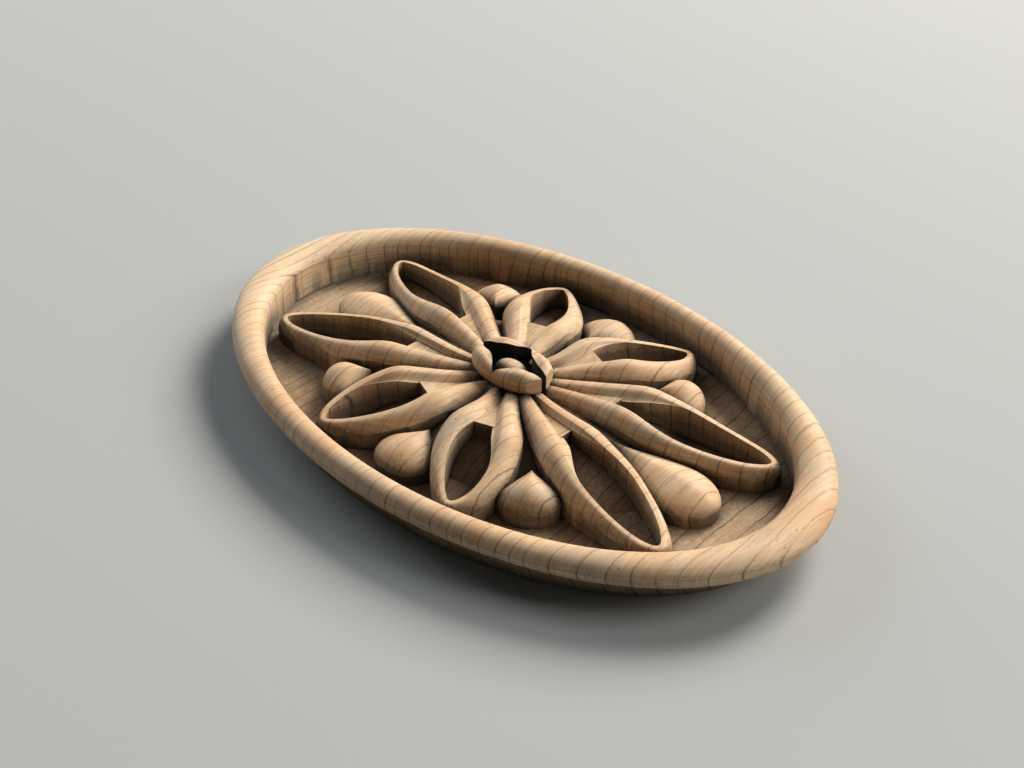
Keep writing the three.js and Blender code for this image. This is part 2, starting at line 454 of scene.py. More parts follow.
@dataclass(frozen=True)
class Bud:
    """Bud between two petals: upright sides under a ridged top that rounds off outwards."""

    start: Spot
    angle: float
    widest: float
    length: float
    half: float
    taper: float
    start_side: float
    side: float
    start_top: float
    top: float
    ridge: float = 0.6
    end_ridge: float = 0.15
    softness: float = 0.012
    least_swell: float = 0.02
    seat: float = 1.2

    def shells(self, grain: Grain) -> list[Shell]:
        """Builds the bud in its place.

        Args:
            grain: How finely the shape is cut up.

        Returns:
            One closed shell.
        """
        rings = []
        steps, arc = 3 * grain.across, 4 * grain.across
        for i in range(2 * steps + 1):
            t = i / steps - 1
            tail = t < 0
            a = math.pi / 2 * t
            reach = self.widest * (1 + t) if tail else self.widest + math.sin(a) * (self.length - self.widest)
            swell = max(1 - abs(t) ** self.taper if tail else math.cos(a), self.least_swell)
            w = self.half * swell
            if tail:
                eave = self.side - (self.start_side - self.side) * t
                crown = self.top + (self.start_top - self.top) * t * t
            else:
                eave = self.side
                crown = self.side + (self.top - self.side) * swell
            peak = mix(self.ridge, self.end_ridge, reach / self.length)
            ring = [(reach, -w, self.seat)]
            for j in range(arc + 1):
                b = math.pi * j / arc
                rise = (1 - peak) * math.sin(b) + peak * self.roof(math.cos(b))
                ring.append((reach, -w * math.cos(b), eave + (crown - eave) * rise))
            ring.append((reach, w, self.seat))
            rings.append(np.array(ring))
        return [lofted(rings).moved(math.radians(self.angle), self.start)]

    def roof(self, side: float) -> float:
        """Height of a roof with a softened ridge.

        Args:
            side: Place across it, from -1 to 1.

        Returns:
            Nearly 0 at the eaves and 1 at the ridge.
        """
        return (1 - math.sqrt(side ** 2 + self.softness)) / (1 - math.sqrt(self.softness))


@dataclass(frozen=True)
class Button:
    """Centre button: four lobes round a star-shaped hollow, on a solid neck, with a pearl in the hollow."""

    length: float = 21.2
    top_height: float = 14.8
    lobe_rise: float = 0.8
    lobe_swell: float = 0.04
    waist_height: float = 12.9
    seat_height: float = 10.2
    tuck: float = math.radians(70)
    ridge_width: float = 2.8
    ridge_arc: float = math.radians(105)
    end: float = 10.1
    end_angle: float = math.radians(20)
    neck_length: float = 15.2
    neck_overlap: float = 0.8
    star_reach: float = 0.97
    star_sag: float = 2.4
    star_slit: float = 1.2
    star_spare: float = 2.0
    pit_length: float = 19.6
    star_floor: float = 7.4
    pearl_length: float = 9.8
    pearl_top: float = 13.7
    pearl_side: float = 10.0
    pearl_fullness: float = 0.8
    seat: float = 1.2
    ratio: float = 0.62

    def body(self, grain: Grain) -> Shell:
        """Builds the button before its ends and the star are cut.

        Args:
            grain: How finely the shape is cut up.

        Returns:
            The closed shell.
        """
        ridge = self.length / 2 - self.ridge_width
        steps = grain.across
        profile = [(0, self.seat_height)]
        for i in range(steps):
            a = self.tuck * (1 - i / steps)
            sink = (self.waist_height - self.seat_height) * math.sin(a) / math.sin(self.tuck)
            profile.append((ridge + self.ridge_width * math.cos(a), self.waist_height - sink))
        for i in range(2 * steps + 1):
            a = self.ridge_arc * i / (2 * steps)
            lift = (self.top_height - self.waist_height) * math.sin(a)
            profile.append((ridge + self.ridge_width * math.cos(a), self.waist_height + lift))
        flat = 1 - np.arange(1, steps) / steps
        profile += [(profile[-1][0] * share, profile[-1][1]) for share in flat]
        profile.append((0, profile[-1][1]))
        return self.lobed(turned(profile, self.ratio, 2 * grain.along))

    def lobed(self, shell: Shell) -> Shell:
        """Makes the ring swell and rise towards the middle of each quarter.

        Args:
            shell: The plain oval button.

        Returns:
            The button with four lobes.
        """
        x, y, z = shell.points.T
        share = np.sin(2 * np.arctan2(y / self.ratio, x)) ** 2
        share = share * np.minimum(np.hypot(x, y / self.ratio) / self.ridge_width, 1)
        lift = np.maximum((z - self.waist_height) / (self.top_height - self.waist_height), 0)
        grown = 1 + self.lobe_swell * share
        return Shell(np.c_[x * grown, y * grown, z + self.lobe_rise * share * lift], shell.faces)

    def drum(self, length: float, low: float, high: float, grain: Grain) -> Shell:
        """Upright oval drum.

        Args:
            length: Its length along X.
            low: Height of its underside.
            high: Height of its top.
            grain: How finely the shape is cut up.

        Returns:
            The closed shell.
        """
        r = length / 2
        return turned([(0, low), (r, low), (r, high), (0, high)], self.ratio, 2 * grain.along)

    def neck(self, grain: Grain) -> Shell:
        """Solid wood under the button."""
        return self.drum(self.neck_length, self.seat, self.seat_height + self.neck_overlap, grain)

    def pit(self, grain: Grain) -> Shell:
        """Oval that bounds the star below the button."""
        return self.drum(self.pit_length, self.star_floor, self.top_height, grain)

    def pearl(self, grain: Grain) -> Shell:
        """Builds the round-headed peg inside the star.

        Args:
            grain: How finely the shape is cut up.

        Returns:
            The closed shell.
        """
        r = self.pearl_length / 2
        profile = [(0, self.seat), (r, self.seat)]
        steps = 2 * grain.across
        for i in range(steps):
            a = math.pi / 2 * i / steps
            height = mix(self.pearl_side, self.pearl_top, math.sin(a))
            profile.append((r * math.cos(a) ** self.pearl_fullness, height))
        profile.append((0, self.pearl_top))
        return turned(profile, self.ratio, 2 * grain.along)

    def blunting(self) -> Shell:
        """Long diamond that cuts the lobes off at a slant at both ends."""
        side = self.end / math.tan(self.end_angle)
        outline = [(self.end, 0), (0, side), (-self.end, 0), (0, -side)]
        return prism(outline, 0, 2 * self.top_height)

    def star(self, grain: Grain) -> Shell:
        """Builds the four-pointed cutter, with bowed sides and the long points open as slits.

        Args:
            grain: How finely the shape is cut up.

        Returns:
            The closed shell.
        """
        reach = self.length / 2 * self.star_reach
        steps = 2 * grain.across
        outline = []
        for x_side, y_side in ((1, 1), (-1, 1), (-1, -1), (1, -1)):
            side = []
            for i in range(steps + 1):
                t = i / steps
                bow = 1 - 4 * t * (1 - t) * self.star_sag / reach
                x = x_side * reach * (1 - t) * bow
                side.append((x, y_side * mix(self.star_slit / 2, reach * self.ratio, t) * bow))
            outline += side if x_side * y_side > 0 else side[::-1][1:]
        return prism(outline, self.star_floor, self.top_height + self.star_spare)


def prism(outline: list[Spot], low: float, high: float) -> Shell:
    """Upright prism over a plan outline.

    Args:
        outline: Points in plan.
        low: Height of its underside.
        high: Height of its top.

    Returns:
        The closed shell.
    """
    return lofted([np.array([(x, y, z) for x, y in outline]) for z in (low, high)])


LONG_OUTER = Rib(
    plan=((4.7, 1.7), (17.7, 8.8), (28.4, 14.3), (39.4, 18.0), (55.2, 19.4)),
    bend_rise=5.2, fall=1.8, hub_slope=Flank(2.0, 1.6), bend_slope=Flank(3.0, 1.6),
)
LONG_INNER = Rib(
    plan=((4.7, 0.9), (15.0, 3.7), (28.4, 5.9), (41.8, 7.6), (55.2, 14.4)),
    bend_rise=5.1, fall=1.3, hub_slope=Flank(1.0, 1.4), bend_slope=Flank(1.2, 1.0),
)
SHORT_OUTER = Rib(
    plan=((2.8, 2.8), (9.5, 11.6), (16.2, 18.9), (19.9, 25.6), (21.4, 33.9)),
    bend_rise=5.5, fall=1.2, hub_slope=Flank(2.0, 1.6), bend_slope=Flank(2.6, 1.6),
)
SHORT_INNER = Rib(
    plan=((0.9, 2.8), (3.9, 11.5), (5.9, 22.0), (11.8, 31.1), (17.7, 36.6)),
    bend_rise=4.9, fall=1.0, hub_slope=Flank(1.0, 1.4), bend_slope=Flank(2.4, 1.3),
)


@dataclass(frozen=True)
class Rosette:
    """The whole carving, joined to one solid."""

    rim: Rim = Rim()
    dome: Dome = Dome()
    long_petal: Petal = Petal(
        LONG_OUTER, (58.1, 18.1), LONG_INNER, reach=58.1, run=0,
        bend=0.48, opening=0.64, thin=(0.48, 0.8), step=((24.2, 12.3), (24.2, 5.3)),
    )
    short_petal: Petal = Petal(
        SHORT_INNER, (19.8, 37.4), SHORT_OUTER, reach=37.4, run=1,
        bend=0.52, opening=0.78, thin=(0.66, 1.05), step=((5.7, 19.3), (13.8, 16.4)),
    )
    end_bud: Bud = Bud(
        start=(28, 0), angle=0, widest=19.5, length=30, half=7.5, taper=1.7,
        start_side=4.6, side=4.6, start_top=7.6, top=8.8,
    )
    side_bud: Bud = Bud(
        start=(0, 24.8), angle=90, widest=6.2, length=13.6, half=7.6, taper=1.7,
        start_side=5, side=4.6, start_top=8.2, top=9.2,
    )
    corner_bud: Bud = Bud(
        start=(25.4, 19.6), angle=50, widest=5.8, length=11.2, half=6.9, taper=1.25,
        start_side=7.4, side=5.2, start_top=8.7, top=10.1,
    )
    button: Button = Button()
    crisp_from: float = math.radians(23)

    def parts(self, grain: Grain) -> list[Shell]:
        """Every shell that is joined, apart from the star and pearl.

        Args:
            grain: How finely the shapes are cut up.

        Returns:
            Closed shells.
        """
        shells = [*self.rim.shells(grain), *self.dome.shells(grain)]
        quarter = [
            *self.long_petal.shells(grain), *self.short_petal.shells(grain), *self.corner_bud.shells(grain),
        ]
        for x_side in (1, -1):
            for y_side in (1, -1):
                shells += [shell.mirrored(x_side, y_side) for shell in quarter]
        for side in (1, -1):
            shells += [shell.mirrored(side, 1) for shell in self.end_bud.shells(grain)]
            shells += [shell.mirrored(1, side) for shell in self.side_bud.shells(grain)]
        return [*shells, self.button.neck(grain)]

    def build(self, grain: Grain) -> bpy.types.Object:
        """Joins the shells, cuts the star and sets the pearl.

        Args:
            grain: How finely the shapes are cut up.

        Returns:
            The carving as one object with smooth faces and crisp edges.
        """
        button = self.button.body(grain).as_object("button")
        combine(button, self.button.blunting().as_object("ends"), "INTERSECT")
        combine(button, self.button.star(grain).as_object("star"), "DIFFERENCE")
        pit = self.button.pit(grain).as_object("pit")
        combine(pit, self.button.star(grain).as_object("star"), "INTERSECT")
        made = [shell.as_object(f"part_{i}") for i, shell in enumerate(self.parts(grain))]
        whole = made[0]
        for other in made[1:]:
            combine(whole, other, "UNION")
        combine(whole, pit, "DIFFERENCE")
        combine(whole, button, "UNION")
        combine(whole, self.button.pearl(grain).as_object("pearl"), "UNION")
        keep_largest_skin(whole.data)
        whole.name = "rosette_oak"
        whole.data.name = "rosette_oak"
        whole.data.shade_smooth()
        whole.data.set_sharp_from_angle(angle=self.crisp_from)
        Hollows().paint(whole.data, (self.rim.length / 2, self.rim.width / 2), self.rim.ground)
        return whole


def combine(whole: bpy.types.Object, other: bpy.types.Object, operation: str) -> None:
    """Joins or cuts one object with another and deletes the second.

    Args:
        whole: The object that is changed.
        other: The object that is added or cut away.
        operation: UNION, DIFFERENCE or INTERSECT.
    """
    step = whole.modifiers.new("step", "BOOLEAN")
    step.operation = operation
    step.object = other
    step.solver = "MANIFOLD"
    graph = bpy.context.evaluated_depsgraph_get()
    result = bpy.data.meshes.new_from_object(whole.evaluated_get(graph))
    old = whole.data
    whole.modifiers.clear()
    whole.data = result
    bpy.data.meshes.remove(old)
    gone = other.data
    bpy.data.objects.remove(other)
    bpy.data.meshes.remove(gone)


def keep_largest_skin(mesh: bpy.types.Mesh) -> None:
    """Deletes the small pockets that are shut in, so that the wood is solid there.

    Args:
        mesh: The mesh that is changed.
    """
    parent = np.arange(len(mesh.vertices))

    def root(v: int) -> int:
        """Finds the first point of the skin that v is on."""
        while parent[v] != v:
            parent[v] = parent[parent[v]]
            v = parent[v]
        return v

    for edge in mesh.edges:
        a, b = root(edge.vertices[0]), root(edge.vertices[1])
        if a != b:
            parent[b] = a
    roots = np.array([root(v) for v in range(len(parent))])
    names, counts = np.unique(roots, return_counts=True)
    keep = roots == names[counts.argmax()]
    if keep.all():
        return
    number = np.cumsum(keep) - 1
    points = [v.co[:] for v in mesh.vertices if keep[v.index]]
    faces = [[int(number[v]) for v in p.vertices] for p in mesh.polygons if keep[p.vertices[0]]]
    mesh.clear_geometry()
    mesh.from_pydata(points, [], faces)


@dataclass(frozen=True)
class Hollows:
    """Works out how much of the sky each corner of the mesh misses, for the painted shade laid there.

    The star in the button counts as fully shut in, so it is painted near black, and the wall under the rim
    only as far as base_most.

    Attributes:
        attribute: Name of the mesh attribute.
        pitch: Side of a cell of the height map.
        lift: How far above the surface the sky is looked for.
        steps: Distances at which the heights round a spot are looked up.
        elevations: Angles of the sky above the plan, in degrees.
        azimuths: Number of directions round a spot.
        ground_share: Share of the oval that has the ground in it, squared.
        ground_skin: Triangles no higher than this above the ground are skipped.
        fill: Greatest distance between the points drawn on a triangle, in cells.
        finest: Most steps along a triangle's side.
        least_sky: Least sum of rays for a spot that looks at the sky at all.
        flat_gain: Gain on the missed share where the surface lies flat.
        wall_gain: Further gain where it stands upright.
        base_share: Share of the oval outside which the base's wall is, squared.
        base_top: Height under which the base's wall is.
        base_most: Greatest missed share on it.
        star_radius: Radius along X of the oval that holds the star.
        star_low: Height under which all of the star counts as shut in.
        star_floor: Height over which the star is.
        pearl_radius: Radius along X of the oval that holds the pearl.
        lobe_seat: Height under which the star outside the pearl counts as shut in.
        wall: Least steepness of a face that counts as a wall.
    """

    attribute: str = "hollow"
    pitch: float = 0.4
    lift: float = 0.35
    steps: tuple[float, ...] = (0.5, 0.9, 1.4, 2.0, 2.8, 3.8, 5.0, 6.5, 8.5, 11.0, 14.0)
    elevations: tuple[float, ...] = (12, 32, 52, 72)
    azimuths: int = 16
    ground_share: float = 0.95
    ground_skin: float = 0.05
    fill: float = 0.6
    finest: int = 128
    least_sky: float = 0.5
    flat_gain: float = 0.9
    wall_gain: float = 0.9
    base_share: float = 0.8
    base_top: float = 7.0
    base_most: float = 0.32
    star_radius: float = 10.3
    star_low: float = 8.0
    star_floor: float = 7.0
    pearl_radius: float = 5.3
    lobe_seat: float = 10.6
    wall: float = 0.6

    def heights(self, points: np.ndarray, triangles: np.ndarray, box: Spot, ground: float) -> np.ndarray:
        """Draws the greatest height over each cell of the plan.

        Args:
            points: Vertices in millimetres.
            triangles: Vertex numbers of each triangle.
            box: Half length and half width of the plan.
            ground: Height of the flat ground, whose triangles are skipped.

        Returns:
            Heights by row along Y and column along X.
        """
        columns = int(2 * box[0] / self.pitch) + 3
        rows = int(2 * box[1] / self.pitch) + 3
        x = (np.arange(columns) - 1) * self.pitch - box[0]
        y = (np.arange(rows) - 1) * self.pitch - box[1]
        inside = (x[None, :] / box[0]) ** 2 + (y[:, None] / box[1]) ** 2 < self.ground_share
        grid = np.where(inside, ground, 0.0)
        corners = points[triangles]
        raised = corners[:, :, 2].max(axis=1) > ground + self.ground_skin
        corners = corners[raised]
        longest = np.linalg.norm(corners - np.roll(corners, 1, axis=1), axis=2).max(axis=1)
        halvings = np.ceil(np.log2(np.maximum(longest / (self.fill * self.pitch), 1)))
        counts = np.minimum(2 ** halvings, self.finest).astype(int)
        for count in np.unique(counts):
            group = corners[counts == count]
            a, b = np.meshgrid(np.arange(count + 1), np.arange(count + 1))
            keep = a + b <= count
            u, v = a[keep] / count, b[keep] / count
            weights = np.c_[1 - u - v, u, v]
            for weight in weights:
                spot = np.tensordot(group, weight, axes=([1], [0]))
                np.maximum.at(grid, self.cells(spot[:, 0], spot[:, 1], box), spot[:, 2])
        return grid

    def cells(self, x: np.ndarray, y: np.ndarray, box: Spot) -> tuple[np.ndarray, np.ndarray]:
        """Finds the cell of each spot, where cell 1 has its middle at the corner of the box.

        Args:
            x: Places along X.
            y: Places along Y.
            box: Half length and half width of the plan.

        Returns:
            Rows and columns.
        """
        return tuple(((at + half) / self.pitch + 1.5).astype(int) for at, half in ((y, box[1]), (x, box[0])))

    def missed(self, spots: np.ndarray, normals: np.ndarray, grid: np.ndarray, box: Spot) -> np.ndarray:
        """Share of the sky that each spot misses.

        Args:
            spots: Places just above the surface.
            normals: Directions that the surface looks in.
            grid: Height over each cell.
            box: Half length and half width of the plan.

        Returns:
            Shares from 0 to 1.
        """
        seen, whole = np.zeros(len(spots)), np.zeros(len(spots))
        for k in range(self.azimuths):
            angle = 2 * math.pi * (k + 0.5) / self.azimuths
            across, up = math.cos(angle), math.sin(angle)
            horizon = np.full(len(spots), -1.0)
            for step in self.steps:
                row, column = self.cells(spots[:, 0] + across * step, spots[:, 1] + up * step, box)
                column, row = column.clip(0, grid.shape[1] - 1), row.clip(0, grid.shape[0] - 1)
                horizon = np.maximum(horizon, (grid[row, column] - spots[:, 2]) / step)
            for degrees in self.elevations:
                e = math.radians(degrees)
                ray = np.array([across * math.cos(e), up * math.cos(e), math.sin(e)])
                share = np.maximum(normals @ ray, 0) * math.cos(e)
                whole += share
                seen += np.where(horizon < math.tan(e), share, 0)
        return np.where(whole > self.least_sky, 1 - seen / np.maximum(whole, 1e-6), 0)

    def paint(self, mesh: bpy.types.Mesh, box: Spot, ground: float) -> None:
        """Writes the share of the sky that is missed to an attribute of the mesh's corners.

        Args:
            mesh: The mesh.
            box: Half length and half width of the plan, in millimetres.
            ground: Height of the flat ground.
        """
        points = np.empty(len(mesh.vertices) * 3)
        mesh.vertices.foreach_get("co", points)
        points = points.reshape(-1, 3) / MM
        mesh.calc_loop_triangles()
        triangles = np.empty(len(mesh.loop_triangles) * 3, dtype=np.int64)
        mesh.loop_triangles.foreach_get("vertices", triangles)
        grid = self.heights(points, triangles.reshape(-1, 3), box, ground)
        owners = np.empty(len(mesh.loops), dtype=np.int64)
        mesh.loops.foreach_get("vertex_index", owners)
        normals = np.empty(len(mesh.loops) * 3)
        mesh.corner_normals.foreach_get("vector", normals)
        normals = normals.reshape(-1, 3)
        # Painted shade: the share of sky missed sets how dark the colour is painted.
        missed = self.missed(points[owners] + normals * self.lift, normals, grid, box)
        steep = 1 - np.abs(normals[:, 2])
        missed = np.minimum(missed * (self.flat_gain + self.wall_gain * steep), 1)
        x, y, z = points[owners].T
        base = ((x / box[0]) ** 2 + (y / box[1]) ** 2 > self.base_share) & (z < self.base_top)
        missed[base] = np.minimum(missed[base], self.base_most)
        inwards = (normals[:, 0] * x + normals[:, 1] * y < 0) & (steep > self.wall)
        out = np.hypot(x, y * box[0] / box[1])
        low = (z < self.star_low) | ((z < self.lobe_seat) & (out > self.pearl_radius))
        # Painted shade: the star's walls and low parts count as fully shut in, so they are painted near
        # black.
        missed[(out < self.star_radius) & (z > self.star_floor) & (inwards | low)] = 1
        made = mesh.attributes.new(self.attribute, "FLOAT", "CORNER")
        made.data.foreach_set("value", missed.astype(np.float32))


@dataclass(frozen=True)
class Cloud:
    """Noise: features for each millimetre along X, Y and Z, how many finer layers, and their strength."""

    scale: Triple
    detail: float = 2.0
    rough: float = 0.5


@dataclass(frozen=True)
class Step:
    """Smooth step: the values where it starts and ends, and the results there."""

    low: float
    high: float | Socket
    start: float = 0.0
    end: float = 1.0


class Nodes:
    """Short way to write a node tree."""

    def __init__(self, tree: bpy.types.NodeTree) -> None:
        """Keeps the tree.

        Args:
            tree: A material's tree or a group.
        """
        self.tree = tree

    def add(self, kind: str, inputs: dict | None = None, **values: object) -> bpy.types.Node:
        """Adds a node.

        Args:
            kind: Node class without the leading ShaderNode.
            inputs: Values or sockets for its inputs, by name or number.
            **values: Properties of the node.

        Returns:
            The node.
        """
        node = self.tree.nodes.new(f"ShaderNode{kind}")
        for key, value in values.items():
            setattr(node, key, value)
        for key, value in (inputs or {}).items():
            if isinstance(value, Socket):
                self.tree.links.new(value, node.inputs[key])
            else:
                node.inputs[key].default_value = value
        return node

    def math(self, operation: str, *values: object, clamp: bool = False) -> Socket:
        """Adds a Math node and gives its result.

        Args:
            operation: Name of the operation.
            *values: Numbers or sockets.
            clamp: Whether the result stays from 0 to 1.

        Returns:
            The output socket.
        """
        node = self.add("Math", dict(enumerate(values)), operation=operation, use_clamp=clamp)
        return node.outputs[0]

    def centred(self, value: object, gain: object) -> Socket:
        """Value less a half, times a gain.

        Args:
            value: Number or socket.
            gain: Number or socket.

        Returns:
            The output socket.
        """
        return self.times(self.math("SUBTRACT", value, 0.5), gain)

    def times(self, *values: object) -> Socket:
        """Product of two numbers or sockets."""
        return self.math("MULTIPLY", *values)

    def plus(self, *values: object) -> Socket:
        """Sum of two numbers or sockets."""
        return self.math("ADD", *values)

    def ramp(self, value: object, step: Step) -> Socket:
        """Smooth step of a value.

        Args:
            value: Number or socket.
            step: The step.

        Returns:
            The output socket.
        """
        given = {
            "Value": value, "From Min": step.low, "From Max": step.high,
            "To Min": step.start, "To Max": step.end,
        }
        return self.add("MapRange", given, interpolation_type="SMOOTHSTEP").outputs["Result"]

    def scaled(self, place: object, scale: object) -> Socket:
        """Place scaled by one factor."""
        return self.add("VectorMath", {0: place, "Scale": scale}, operation="SCALE").outputs[0]

    def stretched(self, place: object, scale: Triple) -> Socket:
        """Place scaled by a factor along each axis."""
        return self.add("VectorMath", {0: place, 1: scale}, operation="MULTIPLY").outputs[0]

    def noise(self, place: object, cloud: Cloud) -> Socket:
        """Noise from 0 to 1.

        Args:
            place: Socket with the place.
            cloud: The noise.

        Returns:
            The output socket.
        """
        given = {
            "Vector": self.stretched(place, cloud.scale), "Scale": 1.0,
            "Detail": cloud.detail, "Roughness": cloud.rough,
        }
        return self.add("TexNoise", given).outputs["Fac"]

    def spots(self, place: object, scale: Triple) -> tuple[Socket, list]:
        """Scattered spots.

        Args:
            place: Socket with the place.
            scale: Spots for each millimetre along each axis.

        Returns:
            The distance to the nearest spot, and three chance values of that spot.
        """
        given = {"Vector": self.stretched(place, scale), "Scale": 1.0, "Randomness": 1.0}
        found = self.add("TexVoronoi", given, feature="F1").outputs
        return found["Distance"], self.add("SeparateColor", {0: found["Color"]}).outputs

    def give(self, leave: bpy.types.Node, results: dict[str, Socket]) -> bpy.types.NodeTree:
        """Links a group's results to its output node.

        Args:
            leave: The group's output node.
            results: Socket for each output name.

        Returns:
            The group.
        """
        for label, socket in results.items():
            self.tree.links.new(socket, leave.inputs[label])
        return self.tree

    def mix(self, factor: object, first: object, second: object) -> Socket:
        """Mixes two colours.

        Args:
            factor: Number or socket.
            first: Colour or socket.
            second: Colour or socket.

        Returns:
            The output socket.
        """
        return self.add("Mix", {0: factor, 6: first, 7: second}, data_type="RGBA").outputs[2]


def new_group(
    name: str, inputs: dict[str, float | None], outputs: tuple[str, ...],
) -> tuple[Nodes, dict[str, Socket], bpy.types.Node]:
    """Starts a node group with named sockets.

    Args:
        name: Name of the group.
        inputs: First value for each number that goes in, by name, and None for a place.
        outputs: Names of the numbers that come out.

    Returns:
        The nodes helper, the group's input sockets by name and its output node.
    """
    tree = bpy.data.node_groups.new(name, "ShaderNodeTree")
    for label, value in inputs.items():
        kind = "NodeSocketVector" if value is None else "NodeSocketFloat"
        socket = tree.interface.new_socket(label, in_out="INPUT", socket_type=kind)
        if value is not None:
            socket.default_value = value
    for label in outputs:
        tree.interface.new_socket(label, in_out="OUTPUT", socket_type="NodeSocketFloat")
    nodes = Nodes(tree)
    entry = tree.nodes.new("NodeGroupInput")
    leave = tree.nodes.new("NodeGroupOutput")
    return nodes, {socket.name: socket for socket in entry.outputs}, leave


@dataclass(frozen=True)
class GrowthLines:
    """Thin dark growth lines in planes across X, closer together near one end of the board.

    Lengths are in millimetres, and the widths of lines are shares of the spacing. Crowding shifts the
    running count, widening broadens the lines, and sapwood pales the board, all near its end at -X.
    """

    spacing: float = 3.8
    sway: float = 2.0
    broad: Cloud = Cloud((0.03, 0.02, 0.03), 1.0)
    broad_gain: float = 4.0
    ripple: Cloud = Cloud((0.25, 0.14, 0.14), 3.0)
    ripple_gain: float = 1.2
    jitter: Cloud = Cloud((0.5, 0.9, 0.9), 3.0, 0.6)
    jitter_gain: float = 0.4
    slant: float = 0.05
    crowding: Step = Step(-80.0, -36.0, -26.0, 0.0)
    widening: Step = Step(-80.0, -36.0, 0.13, 0.055)
    randomness: float = 0.75
    core: float = 0.012
    breaks: Cloud = Cloud((0.6, 0.13, 0.13), 4.0, 0.65)
    unbroken: Step = Step(0.36, 0.5, 0.25, 1.0)
    strong: Step = Step(0.0, 1.0, 0.5, 1.0)
    glow: Step = Step(0.0, 0.22, 1.0, 0.0)
    faint: Step = Step(0.0, 1.0, 0.2, 1.0)
    minor_rate: float = 2.3
    minor_core: Step = Step(0.02, 0.12, 1.0, 0.0)
    gaps: Cloud = Cloud((0.9, 0.09, 0.09), 3.0, 0.6)
    ungapped: Step = Step(0.42, 0.62)
    sapwood: Step = Step(-78.0, -44.0, 1.0, 0.0)

    def group(self) -> bpy.types.NodeTree:
        """Builds the node group.

        Returns:
            The group, with outputs Line, Minor, Tone and Sapwood.
        """
        n, given, leave = new_group(
            "growth_lines",
            {"Place": None, "Spacing": self.spacing, "Sway": self.sway},
            ("Line", "Minor", "Tone", "Sapwood"),
        )
        place = given["Place"]
        split = n.add("SeparateXYZ", {0: place}).outputs
        sway = n.centred(n.noise(place, self.broad), n.times(given["Sway"], self.broad_gain))
        sway = n.plus(sway, n.centred(n.noise(place, self.ripple), self.ripple_gain))
        sway = n.plus(sway, n.centred(n.noise(place, self.jitter), self.jitter_gain))
        along = n.plus(n.plus(split["X"], sway), n.times(split["Y"], self.slant))
        count = n.plus(along, n.ramp(split["X"], self.crowding))
        count = n.math("DIVIDE", count, given["Spacing"])
        edge, chance = self.cells(n, count)
        strength = n.ramp(n.noise(place, self.breaks), self.unbroken)
        strength = n.times(strength, n.ramp(chance, self.strong))
        line = n.ramp(edge, Step(self.core, n.ramp(split["X"], self.widening), 1.0, 0.0))
        tone = n.times(n.ramp(edge, self.glow), n.ramp(chance, self.faint))
        small_edge, small_chance = self.cells(n, n.times(count, self.minor_rate))
        minor = n.ramp(n.noise(place, self.gaps), self.ungapped)
        minor = n.times(n.ramp(small_edge, self.minor_core), minor)
        return n.give(leave, {
            "Line": n.times(line, strength),
            "Minor": n.times(minor, n.ramp(small_chance, self.faint)),
            "Tone": tone,
            "Sapwood": n.ramp(along, self.sapwood),
        })

    def cells(self, n: Nodes, count: Socket) -> tuple[Socket, Socket]:
        """Cuts a running count into uneven cells.

        Args:
            n: The nodes helper.
            count: Socket with the running count.

        Returns:
            The distance to the nearest edge, and a chance value of the cell.
        """
        given = {"W": count, "Scale": 1.0, "Randomness": self.randomness}
        edge, near = (
            n.add("TexVoronoi", given, voronoi_dimensions="1D", feature=feature).outputs
            for feature in ("DISTANCE_TO_EDGE", "F1")
        )
        return edge["Distance"], n.add("SeparateColor", {0: near["Color"]}).outputs[0]


